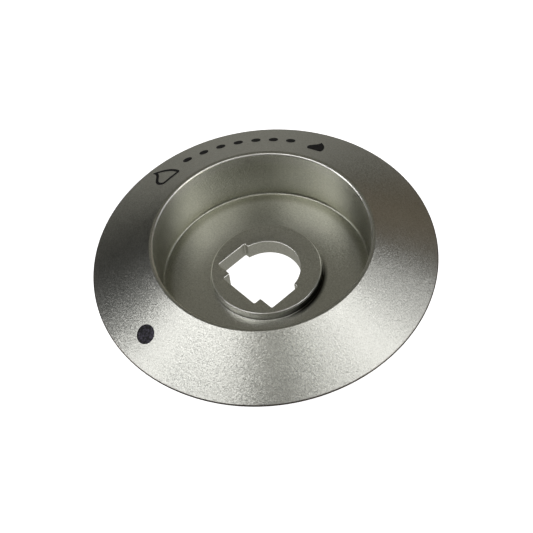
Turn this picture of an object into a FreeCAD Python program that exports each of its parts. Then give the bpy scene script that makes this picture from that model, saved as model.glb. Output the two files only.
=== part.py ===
import FreeCAD, Part
import Sketcher
import math
import os

# Dial skirt of a gas hob's control knob. One thin moulding: a conical flange that faces the cook, a deep cup
# that the knob sits in, and a raised boss on the cup's floor with a keyed hole for the knob's hub. The flange
# carries printed marks: an off dot, a large flame outline, a row of dots that creeps in towards the cup, and a
# small solid flame.
# Millimetres and degrees. The origin is the middle of the cup's flat back, +Z points out of the dial's face,
# and +Y points along the locating slot of the keyed hole.

DIMENSIONS = {
    # moulding
    "rim_diameter": 75.0,
    "rim_height": 7.0,
    "rim_edge": 0.6,
    "overall_height": 14.9,
    "land_diameter": 48.6,
    "mouth_diameter": 47.0,
    "floor_diameter": 45.6,
    "floor_thickness": 2.0,
    "cup_wall": 1.5,
    "flange_thickness": 1.8,
    "boss_diameter": 24.4,
    "boss_height": 2.1,
    "boss_draft": 4.0,
    # keyed hole
    "hole_diameter": 15.0,
    "ear_span": 17.0,
    "ear_back": 1.4,
    "ear_front": 6.3,
    "slot_width": 9.8,
    "slot_reach": 8.1,
    # edge rounding
    "rim_round": 0.25,
    "land_round": 0.3,
    "mouth_round": 0.4,
    "floor_round": 0.5,
    "boss_round": 0.25,
    "hole_round": 0.3,
    # printed marks
    "ink_thickness": 0.05,
    "mark_depth": 1.0,
    "dot_diameter": 2.1,
    "dot_circle": 64.1,
    "dot_start": -11.0,
    "dot_pitch": 7.28,
    "dot_creep": 0.18,
    "off_diameter": 4.3,
    "off_circle": 64.1,
    "off_angle": 85.8,
    "high_height": 7.9,
    "high_stroke": 0.65,
    "high_circle": 64.6,
    "high_angle": 1.4,
    "low_height": 5.0,
    "low_circle": 61.1,
    "low_angle": -66.6,
}
DOT_COUNT = 7

# Flame outline as parts of its height, seen with the flange's rim at the top: across (to the right) and up
# from the middle of its base, then the radius and turn of the line that leaves the corner (0 is straight,
# plus turns left, minus turns right).
FLAME = (
    ("tip", 0.0, 1.0, -0.525),
    ("left neck", -0.117, 0.660, 0.0),
    ("left shoulder", -0.278, 0.463, 0.376),
    ("left cheek", -0.327, 0.068, 0.1175),
    ("left foot", -0.221, 0.0, 0.0),
    ("right foot", 0.259, 0.0, 0.0926),
    ("right cheek", 0.351, 0.080, 1.022),
)

HORIZONTAL_AXIS = -1
VERTICAL_AXIS = -2
ORIGIN = (-1, 1)
START = 1
END = 2

doc = FreeCAD.newDocument("dial_skirt")
sheet = doc.addObject("Spreadsheet::Sheet", "dims")
for row, (alias, size) in enumerate(DIMENSIONS.items(), start=1):
    sheet.set(f"A{row}", alias)
    sheet.set(f"B{row}", str(size))
    sheet.setAlias(f"B{row}", alias)
doc.recompute()


def value(rule):
    """The number that a formula in the sheet's sizes gives."""
    return float(sheet.evalExpression(rule))


# Heights and lengths that several pieces share, as formulas in the sheet's sizes.
CONE_RISE = "(dims.overall_height - dims.rim_height)"
CONE_RUN = "(dims.rim_diameter - dims.land_diameter) / 2"
CONE_SLOPE = f"atan2({CONE_RISE}; {CONE_RUN})"
BOSS_TOP = "(dims.floor_thickness + dims.boss_height)"
BOSS_TOP_DIAMETER = "(dims.boss_diameter - 2 * dims.boss_height * tan(dims.boss_draft * 1 deg))"


# ---- sketching -----------------------------------------------------------------------------------------


def hold(sketch, name, constraint, rule):
    """Add a named size to a sketch and bind it to a formula."""
    index = sketch.addConstraint(constraint)
    sketch.renameConstraint(index, name)
    sketch.setExpression(f"Constraints.{name}", rule)


def pin(sketch, geometry, point, across, up):
    """Hold one point of a sketch at a place given by two formulas."""
    for kind, axis, rule in (("DistanceX", VERTICAL_AXIS, across), ("DistanceY", HORIZONTAL_AXIS, up)):
        if value(rule) == 0:
            sketch.addConstraint(Sketcher.Constraint("PointOnObject", geometry, point, axis))
        else:
            held = Sketcher.Constraint(kind, *ORIGIN, geometry, point, value(rule))
            hold(sketch, f"{kind}_{geometry}", held, rule)


def arc_between(start, end, radius, turn):
    """Arc under half a circle from start to end, turning left (1) or right (-1)."""
    chord = end - start
    rise = math.sqrt(radius ** 2 - chord.Length ** 2 / 4)
    side = FreeCAD.Vector(-chord.y, chord.x, 0).normalize() * turn
    centre = (start + end) * 0.5 + side * rise
    ends = (start, end) if turn > 0 else (end, start)
    angles = [math.atan2(point.y - centre.y, point.x - centre.x) for point in ends]
    circle = Part.Circle(centre, FreeCAD.Vector(0, 0, 1), radius)
    return Part.ArcOfCircle(circle, *angles)


def closed_outline(sketch, corners):
    """Closed outline from corners (across, up, radius, turn), all but the turn as formulas."""
    points = [FreeCAD.Vector(value(across), value(up), 0) for across, up, radius, turn in corners]
    joins = []
    for index, (across, up, radius, turn) in enumerate(corners):
        start = points[index]
        end = points[(index + 1) % len(points)]
        if turn == 0:
            sketch.addGeometry(Part.LineSegment(start, end), False)
        else:
            sketch.addGeometry(arc_between(start, end, value(radius), turn), False)
            hold(sketch, f"Radius_{index}", Sketcher.Constraint("Radius", index, value(radius)), radius)
        joins.append((START, END) if turn >= 0 else (END, START))
    for index, (across, up, radius, turn) in enumerate(corners):
        previous = index - 1 if index else len(corners) - 1
        pin(sketch, index, joins[index][0], across, up)
        meet = Sketcher.Constraint("Coincident", previous, joins[previous][1], index, joins[index][0])
        sketch.addConstraint(meet)


def straight(*corners):
    """Corners of an outline whose sides are all straight."""
    return [(across, up, "0", 0) for across, up in corners]


def round_corner(sketch, corner, radius):
    """Round the corner at which one side of an outline starts."""
    sketch.fillet(corner, START, value(radius), True, True)
    arc = max(i for i, item in enumerate(sketch.Geometry) if isinstance(item, Part.ArcOfCircle))
    hold(sketch, f"Round_{corner}", Sketcher.Constraint("Radius", arc, value(radius)), radius)


def body_sketch(body, name, plane):
    """Sketch on one of a body's own origin planes."""
    sketch = body.newObject("Sketcher::SketchObject", name)
    origin_plane = next(item for item in body.Origin.OriginFeatures if item.Role == plane)
    sketch.AttachmentSupport = (origin_plane, "")
    sketch.MapMode = "FlatFace"
    return sketch


# ---- the moulding --------------------------------------------------------------------------------------


def add_turned_shell(body):
    """Flange, cup and boss, turned from one profile."""
    root_radius = "(dims.mouth_diameter / 2 + dims.cup_wall)"
    root_rise = f"{CONE_RISE} * (dims.rim_diameter / 2 - {root_radius}) / ({CONE_RUN})"
    profile = body_sketch(body, "skirt_profile", "XZ_Plane")
    corners = straight(
        ("0", "0"),
        ("dims.floor_diameter / 2 + dims.cup_wall", "0"),
        (root_radius, f"dims.rim_height + {root_rise} - dims.flange_thickness / cos({CONE_SLOPE})"),
        ("dims.rim_diameter / 2", "dims.rim_height - dims.rim_edge"),
        ("dims.rim_diameter / 2", "dims.rim_height"),
        ("dims.land_diameter / 2", "dims.overall_height"),
        ("dims.mouth_diameter / 2", "dims.overall_height"),
        ("dims.floor_diameter / 2", "dims.floor_thickness"),
        ("dims.boss_diameter / 2", "dims.floor_thickness"),
        (f"{BOSS_TOP_DIAMETER} / 2", BOSS_TOP),
        ("0", BOSS_TOP),
    )
    closed_outline(profile, corners)
    for corner, radius in ((3, "rim"), (4, "rim"), (5, "land"), (6, "mouth"), (7, "floor"), (9, "boss")):
        round_corner(profile, corner, f"dims.{radius}_round")
    shell = body.newObject("PartDesign::Revolution", "turned_shell")
    shell.Profile = profile
    shell.ReferenceAxis = (profile, ["V_Axis"])
    shell.Angle = 360


def add_keyed_hole(body):
    """Through hole in boss and floor: round, with an ear each side and a wide locating slot."""
    doc.recompute()
    before = body.Shape.Volume
    sketch = body_sketch(body, "keyed_hole_outline", "XY_Plane")
    ear = "dims.ear_span / 2"
    slot = "dims.slot_width / 2"
    round_part = "sqrt((dims.hole_diameter / 2)^2 - dims.ear_back^2)"
    corners = (
        (f"-{round_part}", "-dims.ear_back", "dims.hole_diameter / 2", 1),
        (round_part, "-dims.ear_back", "0", 0),
        (ear, "-dims.ear_back", "0", 0),
        (ear, "dims.ear_front", "0", 0),
        (slot, "dims.ear_front", "0", 0),
        (slot, "dims.slot_reach", "0", 0),
        (f"-{slot}", "dims.slot_reach", "0", 0),
        (f"-{slot}", "dims.ear_front", "0", 0),
        (f"-{ear}", "dims.ear_front", "0", 0),
        (f"-{ear}", "-dims.ear_back", "0", 0),
    )
    closed_outline(sketch, corners)
    for corner in range(2, len(corners)):
        round_corner(sketch, corner, "dims.hole_round")
    hole = body.newObject("PartDesign::Pocket", "keyed_hole")
    hole.Profile = sketch
    hole.Type = "ThroughAll"
    hole.Reversed = True
    doc.recompute()
    expected = Part.Face(sketch.Shape.Wires[0]).Area * value(BOSS_TOP)
    if abs(before - body.Shape.Volume - expected) > 0.01 * expected:
        raise RuntimeError("the keyed hole doesn't go right through the boss and floor")


def make_dial_skirt():
    """The whole moulding, with its rounded edges."""
    body = doc.addObject("PartDesign::Body", "dial_skirt")
    body.Label = "dial_skirt"
    add_turned_shell(body)
    add_keyed_hole(body)
    return body


# ---- the printed marks ---------------------------------------------------------------------------------


def make_ink_layer():
    """Thin skin over the whole flange, from which every mark is cut."""
    cones = []
    for name, lift in (("flange_face", "0"), ("ink_face", f"dims.ink_thickness / cos({CONE_SLOPE})")):
        cone = doc.addObject("Part::Cone", name)
        cone.setExpression("Radius1", "dims.rim_diameter / 2")
        cone.setExpression("Radius2", "dims.land_diameter / 2")
        cone.setExpression("Height", CONE_RISE)
        cone.setExpression("Placement", f"placement(vector(0; 0; dims.rim_height + {lift}); rotationz(0))")
        cones.append(cone)
    layer = doc.addObject("Part::Cut", "ink_layer")
    layer.Tool, layer.Base = cones
    return layer


def on_flange(circle, angle):
    """Placement on the flange: X points down the slope to the rim and Z out of the surface."""
    radius = f"({circle}) / 2"
    height = f"dims.rim_height + (dims.rim_diameter / 2 - {radius}) * tan({CONE_SLOPE})"
    turn = f"({angle}) * 1 deg"
    spot = f"vector({radius} * cos({turn}); {radius} * sin({turn}); {height})"
    return f"placement({spot}; rotationz({turn}) * rotationy({CONE_SLOPE}))"


def print_mark(name, stamp):
    """The part of the ink layer that a stamp's solid covers."""
    mark = doc.addObject("Part::Common", name)
    mark.Base = stamp
    mark.Tool = ink_layer
    mark.Label = name
    return mark


def make_dot(name, diameter, circle, angle):
    """Round mark."""
    stamp = doc.addObject("Part::Cylinder", f"{name}_stamp")
    stamp.setExpression("Radius", f"{diameter} / 2")
    stamp.setExpression("Height", "2 * dims.mark_depth")
    sunk = "placement(vector(0; 0; -dims.mark_depth); rotationz(0))"
    stamp.setExpression("Placement", f"{on_flange(circle, angle)} * {sunk}")
    return print_mark(name, stamp)


def stamp_from(outline, name):
    """Solid through the flange's surface with a flat outline."""
    stamp = doc.addObject("Part::Extrusion", name)
    stamp.Base = outline
    stamp.DirMode = "Normal"
    stamp.Solid = True
    stamp.setExpression("LengthFwd", "dims.mark_depth")
    stamp.setExpression("LengthRev", "dims.mark_depth")
    return stamp


def make_flame(name, kind, stroke=None):
    """Flame mark with its tip towards the rim, solid or as an outline of one stroke."""
    height = f"dims.{kind}_height"
    outline = doc.addObject("Sketcher::SketchObject", f"{name}_outline")
    corners = []
    for corner, across, up, bend in FLAME:
        turn = (bend > 0) - (bend < 0)
        corners.append((f"{height} * ({up} - 0.5)", f"{height} * {-across}", f"{height} * {abs(bend)}", turn))
    closed_outline(outline, corners)
    outline.setExpression("Placement", on_flange(f"dims.{kind}_circle", f"dims.{kind}_angle"))
    stamp = stamp_from(outline, f"{name}_stamp")
    if stroke:
        inner = doc.addObject("Part::Offset2D", f"{name}_inside")
        inner.Source = outline
        inner.Join = "Intersection"
        inner.setExpression("Value", f"-{stroke}")
        ring = doc.addObject("Part::Cut", f"{name}_ring")
        ring.Base = stamp
        ring.Tool = stamp_from(inner, f"{name}_inside_stamp")
        stamp = ring
    return print_mark(name, stamp)


# ---- the whole part ------------------------------------------------------------------------------------

skirt = make_dial_skirt()
ink_layer = make_ink_layer()
nodes = [
    skirt,
    make_dot("off_mark", "dims.off_diameter", "dims.off_circle", "dims.off_angle"),
    make_flame("high_flame_mark", "high", stroke="dims.high_stroke"),
    make_flame("low_flame_mark", "low"),
]
for number in range(DOT_COUNT):
    angle = f"dims.dot_start - {number} * dims.dot_pitch"
    circle = f"(dims.dot_circle - {number} * 2 * dims.dot_creep)"
    nodes.append(make_dot(f"scale_dot_{number + 1}", "dims.dot_diameter", circle, angle))

doc.recompute()
for item in doc.Objects:
    if "Invalid" in item.State or "Error" in item.State:
        raise RuntimeError(f"{item.Name} is {item.State}")
os.makedirs("parts", exist_ok=True)
for node in nodes:
    shape = node.Shape
    if shape.isNull() or not shape.isValid() or len(shape.Solids) != 1:
        raise RuntimeError(f"{node.Label} is not one valid solid")
    shape.exportStep(f"parts/{node.Label}.step")
    print(f"{node.Label}: {shape.Volume:.3f} mm3, {shape.BoundBox.XLength:.2f} x {shape.BoundBox.YLength:.2f}")
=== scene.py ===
import math

import bmesh
import bpy
from mathutils import Matrix, Vector


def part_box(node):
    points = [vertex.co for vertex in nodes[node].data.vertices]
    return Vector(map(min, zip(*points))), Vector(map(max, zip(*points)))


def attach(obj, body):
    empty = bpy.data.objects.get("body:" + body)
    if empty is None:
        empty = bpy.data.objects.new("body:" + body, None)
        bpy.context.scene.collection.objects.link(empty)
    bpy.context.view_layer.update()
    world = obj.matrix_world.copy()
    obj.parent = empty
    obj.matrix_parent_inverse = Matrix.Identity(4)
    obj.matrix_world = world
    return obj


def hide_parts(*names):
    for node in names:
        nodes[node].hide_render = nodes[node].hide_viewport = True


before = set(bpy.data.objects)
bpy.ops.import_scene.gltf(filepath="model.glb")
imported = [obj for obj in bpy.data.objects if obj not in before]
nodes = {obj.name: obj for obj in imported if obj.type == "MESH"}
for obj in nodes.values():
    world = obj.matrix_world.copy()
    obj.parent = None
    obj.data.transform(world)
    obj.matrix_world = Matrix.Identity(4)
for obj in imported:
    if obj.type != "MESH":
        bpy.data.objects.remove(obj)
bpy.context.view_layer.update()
scene = bpy.context.scene

MM = 0.001


# ---- lines and rings, in millimetres ---------------------------------------------------------------------


def rounded(corners, radii, steps=6, margin=0.06):
    """The line through the corners, each rounded, with a point a margin away on either side of a rounding."""
    line = [Vector(corners[0])]
    for before, corner, after, radius in zip(corners, corners[1:], corners[2:], radii):
        before, corner, after = Vector(before), Vector(corner), Vector(after)
        to_before = (before - corner).normalized()
        to_after = (after - corner).normalized()
        half = to_before.angle(to_after) / 2
        centre = corner + (to_before + to_after).normalized() * radius / math.sin(half)
        first = corner + to_before * radius / math.tan(half)
        turn = math.pi - 2 * half
        if to_before.cross(to_after) < 0:
            turn = -turn
        line.append(first + to_before * margin)
        for i in range(steps + 1):
            line.append(centre + Matrix.Rotation(-turn * i / steps, 2) @ (first - centre))
        line.append(line[-1] + to_after * margin)
    line.append(Vector(corners[-1]))
    return line


def divided(line, longest):
    """The same line with its long runs cut into shorter ones."""
    points = [line[0]]
    for end in line[1:]:
        start = points[-1]
        count = max(1, math.ceil((end - start).length / longest))
        points += [start.lerp(end, i / count) for i in range(1, count + 1)]
    return points


def widened(loop, distance):
    """A closed counterclockwise loop moved outwards by a distance."""
    moved = []
    for before, point, after in zip(loop[-1:] + loop[:-1], loop, loop[1:] + loop[:1]):
        first = (point - before).normalized()
        second = (after - point).normalized()
        normal = Vector((first.y + second.y, -first.x - second.x)).normalized()
        moved.append(point + normal * distance / max(0.5, normal.dot(Vector((first.y, -first.x)))))
    return moved


def ring(mesh, loop, z):
    """Vertices of a closed loop at one height."""
    return [mesh.verts.new((p.x * MM, p.y * MM, z * MM)) for p in loop]


def skin(mesh, first, second):
    """Quads between two rings with the same number of vertices."""
    count = len(first)
    for i in range(count):
        j = (i + 1) % count
        mesh.faces.new((first[i], first[j], second[j], second[i]))


def lid(mesh, outer, inner):
    """Flat face between an outer and an inner ring."""
    edges = []
    for loop in (outer, inner):
        for a, b in zip(loop, loop[1:] + loop[:1]):
            edges.append(mesh.edges.get((a, b)))
    bmesh.ops.triangle_fill(mesh, use_beauty=True, use_dissolve=False, edges=edges)


# ---- the moulding ----------------------------------------------------------------------------------------

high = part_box("dial_skirt")[1]
RIM = high.x / MM  # radius of the flange
TOP = high.z / MM  # height of the flat land round the mouth
FLOOR = 2.0  # height of the cup's floor
BOSS = 4.1  # height of the boss's top
BOSS_CORE = 11.2  # radius up to which the boss's top and back are flat lids round the hole
HOLE_EDGE = 0.2  # rounding of the hole's edges
TURNS = 240  # steps round the axis
LONGEST = 1.5  # longest step along the section
SMOOTH_BELOW = 32  # degrees between faces that still shade as one surface


def keyed_hole():
    """Outline of the keyed hole: round, with an ear each side and a wide locating slot."""
    radius = 7.5
    back, front, ear = -1.4, 6.3, 8.5  # the ears' two ends and how far they reach from the axis
    slot, reach = 4.9, 8.1  # half the locating slot's width and how far it reaches
    corner_radius, longest, steps = 0.3, 0.5, 72
    side = math.sqrt(radius ** 2 - back ** 2)
    corners = [(side, back), (ear, back), (ear, front), (slot, front), (slot, reach),
               (-slot, reach), (-slot, front), (-ear, front), (-ear, back), (-side, back)]
    line = divided(rounded(corners, [corner_radius] * 8), longest)
    start = math.atan2(back, -side)
    sweep = math.atan2(back, side) - start
    for i in range(1, steps):
        angle = start + sweep * i / steps
        line.append(Vector((radius * math.cos(angle), radius * math.sin(angle))))
    return line


def mark_highlight_edges(data):
    """Vertex value "edge": 1 on the rounded edges where a painted highlight line goes, 0 elsewhere."""
    value = data.attributes.new("edge", "FLOAT", "POINT")
    for vertex in data.vertices:
        x, y, z = vertex.co / MM
        radius = math.hypot(x, y)
        mouth = 23.05 < radius < 23.82 and z > TOP - 0.36
        boss_edge = 11.83 < radius < 12.2 and z > BOSS - 0.24
        hole_edge = radius < 11.0 and BOSS - 0.19 < z < BOSS - 0.001
        value.data[vertex.index].value = 1.0 if mouth or boss_edge or hole_edge else 0.0


def build_dial_skirt():
    """The moulding: its section turned round the axis, with the keyed hole cut through boss and floor."""
    mesh = bmesh.new()
    corners = [(BOSS_CORE, BOSS), (12.0532, BOSS), (12.2, FLOOR), (22.8, FLOOR), (23.5, TOP), (24.3, TOP),
               (RIM, 7.0), (RIM, 6.4), (24.9717, 12.3791), (24.3, 0), (BOSS_CORE, 0)]
    roundings = [0.25, 0.3, 0.5, 0.4, 0.3, 0.25, 0.25, 0.3, 0.2]
    section = divided(rounded(corners, roundings), LONGEST)
    turns = [2 * math.pi * i / TURNS for i in range(TURNS)]
    rings = []
    for point in section:
        circle = [Vector((point.x * math.cos(a), point.x * math.sin(a))) for a in turns]
        rings.append(ring(mesh, circle, point.y))
    for first, second in zip(rings, rings[1:]):
        skin(mesh, second, first)
    outline = keyed_hole()
    # Each pair is how far out the wall lies and how far in from the face, as parts of the rounding.
    curve = [(1, 0), (0.6, 0.08), (0.3, 0.3), (0.08, 0.6), (0, 1), (0, 1.4)]
    walls = [(out, BOSS - deep * HOLE_EDGE) for out, deep in curve]
    walls += [(out, deep * HOLE_EDGE) for out, deep in reversed(curve)]
    hole_rings = [ring(mesh, widened(outline, out * HOLE_EDGE), z) for out, z in walls]
    for first, second in zip(hole_rings, hole_rings[1:]):
        skin(mesh, first, second)
    lid(mesh, rings[0], hole_rings[0])
    lid(mesh, rings[-1], hole_rings[-1])
    bmesh.ops.recalc_face_normals(mesh, faces=mesh.faces)
    data = bpy.data.meshes.new("dial_skirt_finish")
    mesh.to_mesh(data)
    mesh.free()
    mark_highlight_edges(data)
    data.shade_smooth()
    data.set_sharp_from_angle(angle=math.radians(SMOOTH_BELOW))
    skirt = bpy.data.objects.new("dial_skirt_finish", data)
    scene.collection.objects.link(skirt)
    return skirt


# ---- materials -------------------------------------------------------------------------------------------


class Nodes:
    """Short way to write a material's node tree."""

    def __init__(self, name):
        self.material = bpy.data.materials.new(name)
        self.material.use_nodes = True
        self.tree = self.material.node_tree
        self.shader = self.tree.nodes["Principled BSDF"]
        self.place = self.add("ShaderNodeTexCoord").outputs["Object"]

    def add(self, kind, **settings):
        node = self.tree.nodes.new(kind)
        for name, value in settings.items():
            setattr(node, name, value)
        return node

    def join(self, source, target):
        self.tree.links.new(source, target)

    def noise(self, scale, detail=3.0, roughness=0.5, output="Fac"):
        node = self.add("ShaderNodeTexNoise")
        node.inputs["Scale"].default_value = scale
        node.inputs["Detail"].default_value = detail
        node.inputs["Roughness"].default_value = roughness
        self.join(self.place, node.inputs["Vector"])
        return node.outputs[output]

    def ranged(self, source, low, high, to_low, to_high):
        node = self.add("ShaderNodeMapRange")
        for i, number in enumerate((low, high, to_low, to_high), start=1):
            node.inputs[i].default_value = number
        self.join(source, node.inputs[0])
        return node.outputs[0]

    def blend(self, factor, first, second, kind="MIX"):
        node = self.add("ShaderNodeMix", data_type="RGBA", blend_type=kind)
        for value, index in ((factor, 0), (first, 6), (second, 7)):
            if isinstance(value, (tuple, float, int)):
                node.inputs[index].default_value = value
            else:
                self.join(value, node.inputs[index])
        return node.outputs[2]

    def math(self, operation, first, second):
        node = self.add("ShaderNodeMath", operation=operation)
        for value, index in ((first, 0), (second, 1)):
            if isinstance(value, (float, int)):
                node.inputs[index].default_value = value
            else:
                self.join(value, node.inputs[index])
        return node.outputs[0]

    def vector(self, operation, *values):
        node = self.add("ShaderNodeVectorMath", operation=operation)
        for i, value in enumerate(values):
            if isinstance(value, tuple):
                node.inputs[i].default_value = value
            else:
                self.join(value, node.inputs[i])
        return node.outputs["Vector"]

    def bump(self, height, distance, strength=1.0, under=None):
        node = self.add("ShaderNodeBump")
        node.inputs["Strength"].default_value = strength
        node.inputs["Distance"].default_value = distance
        self.join(height, node.inputs["Height"])
        if under is not None:
            self.join(under, node.inputs["Normal"])
        return node.outputs["Normal"]


def sparkle(m):
    """Surface direction, tilted a little this way and that from one metal flake to the next."""
    spread = 0.28
    flakes = m.noise(3900, 1, 0.5, "Color")
    tilt = m.vector("MULTIPLY_ADD", flakes, (spread,) * 3, (-spread / 2,) * 3)
    normal = m.add("ShaderNodeNewGeometry").outputs["Normal"]
    return m.vector("NORMALIZE", m.vector("ADD", normal, tilt))


def from_axis(m):
    """Distance of the surface point from the disc's axis."""
    radius = m.add("ShaderNodeVectorMath", operation="LENGTH")
    m.join(m.vector("MULTIPLY", m.place, (1, 1, 0)), radius.inputs[0])
    return radius.outputs["Value"]


def painted_light_by_zone(m):
    """Painted light and shade by radius: the coat lighter on the boss and the cup's floor, darker and
    yellower on its wall.
    """
    boss, floor = (0.96, 0.96, 0.96, 1), (1.0, 1.0, 1.0, 1)
    wall, flange = (0.69, 0.69, 0.63, 1), (0.83, 0.83, 0.83, 1)
    node = m.add("ShaderNodeValToRGB")
    reach = 40  # radius at the ramp's far end
    m.join(m.math("DIVIDE", from_axis(m), reach * MM), node.inputs[0])
    stops = ((12.2, boss), (12.7, floor), (20.2, floor), (21.4, wall), (23.3, wall), (23.6, flange))
    marks = node.color_ramp.elements
    marks[0].position, marks[0].color = stops[0][0] / reach, stops[0][1]
    marks[1].position, marks[1].color = stops[-1][0] / reach, stops[-1][1]
    for radius, tint in stops[1:-1]:
        marks.new(radius / reach).color = tint
    return node.outputs["Color"]


def painted_shade_at_boss_foot(m):
    """1 at the foot of the boss on one side, fading to 0 all round: painted shade in the corner between boss
    and floor.
    """
    height = m.add("ShaderNodeSeparateXYZ")
    m.join(m.place, height.inputs[0])
    radius = from_axis(m)
    flat = m.vector("NORMALIZE", m.vector("MULTIPLY", m.place, (1, 1, 0)))
    facing = m.add("ShaderNodeVectorMath", operation="DOT_PRODUCT")
    m.join(flat, facing.inputs[0])
    facing.inputs[1].default_value = (-0.9483, -0.3173, 0)  # direction of the crescent's middle
    towards = facing.outputs["Value"]
    reach = m.math("POWER", m.ranged(towards, 0.45, 0.97, 0, 1), 1.1)
    past = m.math("SUBTRACT", radius, m.ranged(reach, 0, 1, 12.25 * MM, 12.6 * MM))
    band = m.ranged(m.math("DIVIDE", past, 0.9 * MM), 0, 1, 1, 0)
    inner = m.ranged(radius, 11.9 * MM, 12.05 * MM, 0, 1)
    below = m.ranged(height.outputs["Z"], 3.4 * MM, 3.95 * MM, 1, 0)
    above = m.ranged(height.outputs["Z"], 1.0 * MM, 1.5 * MM, 0, 1)
    foot = m.math("MULTIPLY", m.math("MULTIPLY", band, inner), m.math("MULTIPLY", below, above))
    return m.math("MULTIPLY", foot, m.ranged(towards, 0.58, 0.92, 0, 1))


def darkened_rim_edge(m):
    """1 on the narrow outer edge of the flange, 0 elsewhere."""
    return m.ranged(from_axis(m), (RIM - 0.24) * MM, (RIM - 0.1) * MM, 0, 1)


def silver_lacquer():
    """Satin metallic silver with a fine grain of metal flakes, and a paler coat on the rounded edges as a
    painted highlight.
    """
    m = Nodes("silver_lacquer")
    m.shader.inputs["Metallic"].default_value = 1.0
    cloud = m.noise(60, 4)
    grain = m.noise(2600, 2, 0.6)
    fine = m.noise(6000, 2, 0.5)
    shade = m.math("ADD", m.ranged(cloud, 0.3, 0.7, 0.47, 0.53), m.ranged(grain, 0.3, 0.7, -0.1, 0.1))
    shade = m.math("ADD", shade, m.ranged(fine, 0.3, 0.7, -0.1, 0.1))
    colour = m.blend(shade, (0.265, 0.265, 0.24, 1), (1.0, 1.0, 0.94, 1))
    # Painted light and shade: the coat is tinted by radius, lighter on boss and floor, darker and yellower on
    # the cup's wall.
    colour = m.blend(1.0, colour, painted_light_by_zone(m), "MULTIPLY")
    edge = m.add("ShaderNodeAttribute", attribute_name="edge").outputs["Fac"]
    painted_highlight = m.math("MULTIPLY", edge, m.ranged(cloud, 0.3, 0.6, 0.75, 1.0))
    # Painted highlight: the coat is made near-white along the rounded edges.
    colour = m.blend(painted_highlight, colour, (1.0, 0.99, 0.95, 1))
    # The colour is made dark on the flange's narrow outer edge.
    colour = m.blend(m.math("MULTIPLY", darkened_rim_edge(m), 0.9), colour, (0.05, 0.035, 0.025, 1))
    # Painted shade: a near-black crescent at the foot of the boss.
    colour = m.blend(painted_shade_at_boss_foot(m), colour, (0.025, 0.024, 0.018, 1))
    m.join(colour, m.shader.inputs["Base Color"])
    rough = m.math("ADD", m.ranged(grain, 0.3, 0.7, 0.30, 0.36), m.ranged(cloud, 0.3, 0.7, -0.015, 0.015))
    m.join(rough, m.shader.inputs["Roughness"])
    relief = m.bump(m.noise(2300, 3, 0.6), 0.00003, 1.0, sparkle(m))
    m.join(m.bump(cloud, 0.00003, 0.5, relief), m.shader.inputs["Normal"])
    return m.material


def printing_ink(name, gloss, pale):
    """Black pad-printing ink, uneven in tone: the gloss is its specular level, pale its lighter spots."""
    m = Nodes(name)
    m.shader.inputs["IOR"].default_value = 1.4
    m.shader.inputs["Specular IOR Level"].default_value = gloss
    mottle = m.noise(1300, 4, 0.65)
    pits = m.noise(4200, 2, 0.5)
    colour = m.blend(m.ranged(mottle, 0.45, 0.62, 0, 1), (0.003, 0.003, 0.004, 1), pale)
    m.join(colour, m.shader.inputs["Base Color"])
    m.join(m.ranged(mottle, 0.3, 0.7, 0.34, 0.55), m.shader.inputs["Roughness"])
    m.join(m.bump(pits, 0.00001, 0.6), m.shader.inputs["Normal"])
    return m.material


silver = silver_lacquer()
ink = printing_ink("printing_ink", 0.08, (0.012, 0.011, 0.014, 1))
# The off mark's ink: the same black ink with paler violet spots as a painted sheen, and a higher specular
# level.
off_mark_ink_painted_sheen = printing_ink("printing_ink_painted_sheen", 0.25, (0.06, 0.054, 0.078, 1))

skirt = build_dial_skirt()
skirt.data.materials.append(silver)
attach(skirt, "root")
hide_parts("dial_skirt")

for name, node in nodes.items():
    material = {"dial_skirt": silver, "off_mark": off_mark_ink_painted_sheen}.get(name, ink)
    for slot in node.material_slots:
        slot.material = material


# ---- camera, floor and light -----------------------------------------------------------------------------


CAMERA_BEARING = -126.5  # degrees round the axis to the camera's side
LAMP_DISTANCE = 0.6
AIM = Vector((0, 0, 0.008))  # where the lamps point


def camera():
    """Camera at the photograph's viewing angle."""
    rise, roll = math.radians(52.59), math.radians(-8.46)
    distance, shift_right, shift_up, aim_height = 450.0, -0.35, 1.25, 7.0
    sensor, focal_pixels, image_pixels = 36.0, 2078.4, 533
    turn = Matrix.Rotation(math.radians(CAMERA_BEARING), 3, "Z")
    forward = Vector((0, math.cos(rise), -math.sin(rise)))
    level = Vector((1, 0, 0))
    upright = Vector((0, math.sin(rise), math.cos(rise)))
    right = math.cos(roll) * level + math.sin(roll) * upright
    up = -math.sin(roll) * level + math.cos(roll) * upright
    place = -forward * distance - right * shift_right - up * shift_up + Vector((0, 0, aim_height))
    axes = Matrix((turn @ right, turn @ up, turn @ -forward)).transposed()
    data = bpy.data.cameras.new("camera")
    data.sensor_width = sensor
    data.lens = sensor * focal_pixels / image_pixels
    data.clip_start = 0.01
    data.clip_end = 20.0
    shot = bpy.data.objects.new("camera", data)
    shot.matrix_world = Matrix.Translation(turn @ place * MM) @ axes.to_4x4()
    scene.collection.objects.link(shot)
    scene.camera = shot


def softbox(bearing, height, width, tall, power, colour=(1, 1, 1)):
    """Soft area light. Bearing 0 is the camera's side, 90 its right hand and 180 behind the object."""
    turn = Matrix.Rotation(math.radians(bearing + CAMERA_BEARING), 3, "Z")
    rise = math.radians(height)
    place = turn @ Vector((0, -math.cos(rise), math.sin(rise))) * LAMP_DISTANCE + AIM
    data = bpy.data.lights.new(f"softbox_{bearing}_{height}", "AREA")
    data.shape = "RECTANGLE"
    data.size = width
    data.size_y = tall
    data.energy = power
    data.color = colour
    light = bpy.data.objects.new(data.name, data)
    light.location = place
    light.rotation_euler = (AIM - place).to_track_quat("-Z", "Y").to_euler()
    scene.collection.objects.link(light)


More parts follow.
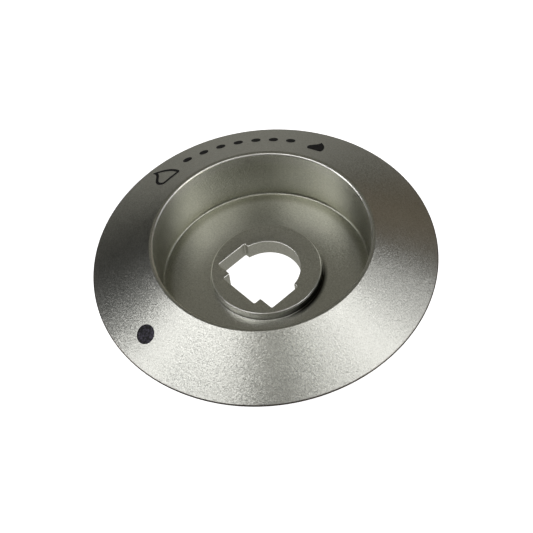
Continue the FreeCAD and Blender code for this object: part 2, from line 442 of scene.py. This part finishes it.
def white_stage():
    """Plain white material that glows, as a light table does."""
    m = Nodes("white_stage")
    colour = m.blend(m.noise(9, 2), (0.86, 0.86, 0.86, 1), (0.9, 0.9, 0.9, 1))
    m.join(colour, m.shader.inputs["Base Color"])
    m.shader.inputs["Roughness"].default_value = 0.9
    m.shader.inputs["Emission Color"].default_value = (1, 1, 1, 1)
    m.shader.inputs["Emission Strength"].default_value = 1.0
    return m.material


def stage_piece(name, mesh, material):
    """A piece of the plain surroundings, which the metal doesn't mirror."""
    data = bpy.data.meshes.new(name)
    mesh.to_mesh(data)
    mesh.free()
    data.materials.append(material)
    piece = bpy.data.objects.new(name, data)
    piece.visible_glossy = False
    scene.collection.objects.link(piece)
    return piece


def floor_and_backdrop():
    """Plain pale floor, and a plain dome over it that stands behind the object from every side."""
    floor_radius, dome_radius, drop = 3.0, 2.9, 0.00005
    white = white_stage()
    mesh = bmesh.new()
    bmesh.ops.create_circle(mesh, cap_ends=True, segments=96, radius=floor_radius)
    stage_piece("floor", mesh, white).location.z = -drop
    mesh = bmesh.new()
    bmesh.ops.create_uvsphere(mesh, u_segments=96, v_segments=48, radius=dome_radius)
    dome = stage_piece("backdrop", mesh, white)
    dome.visible_diffuse = False
    dome.visible_shadow = False


def table_glow():
    """Dim studio: only the pale table shows in what the metal reflects."""
    world = bpy.data.worlds.new("studio")
    world.use_nodes = True
    tree = world.node_tree
    place = tree.nodes.new("ShaderNodeTexCoord").outputs["Generated"]
    height = tree.nodes.new("ShaderNodeSeparateXYZ")
    tree.links.new(place, height.inputs[0])
    below = tree.nodes.new("ShaderNodeMapRange")
    for i, number in enumerate((-0.03, 0.03, 1.0, 0.0), start=1):
        below.inputs[i].default_value = number
    tree.links.new(height.outputs["Z"], below.inputs[0])
    colour = tree.nodes.new("ShaderNodeMix")
    colour.data_type = "RGBA"
    colour.inputs[6].default_value = (0.0, 0.0, 0.0, 1)
    colour.inputs[7].default_value = (0.35, 0.345, 0.31, 1)
    tree.links.new(below.outputs[0], colour.inputs[0])
    tree.links.new(colour.outputs[2], tree.nodes["Background"].inputs["Color"])
    scene.world = world


camera()
floor_and_backdrop()
table_glow()
# Each lamp's bearing and height in degrees, width and length in metres, power in watts, and colour.
softbox(272, 34, 0.20, 0.55, 0.74)
softbox(300, 60, 0.30, 0.22, 0.56)
softbox(266, 10, 0.25, 0.20, 0.50)
softbox(72, 40, 0.25, 0.35, 0.55)
softbox(54, 9, 0.40, 0.18, 0.46, (1.0, 0.97, 0.75))
softbox(98, 27, 0.20, 0.30, 0.21)
softbox(48, 60, 0.30, 0.22, 0.38)
softbox(180, 45, 0.50, 0.40, 0.13, (1.0, 0.97, 0.8))
softbox(0, 76, 0.35, 0.25, 0.17, (1.0, 0.98, 0.85))
softbox(0, 33, 0.40, 0.12, 0.18)
softbox(135, 20, 0.30, 0.30, 0.05, (1.0, 0.8, 0.55))
scene.view_settings.view_transform = "Standard"
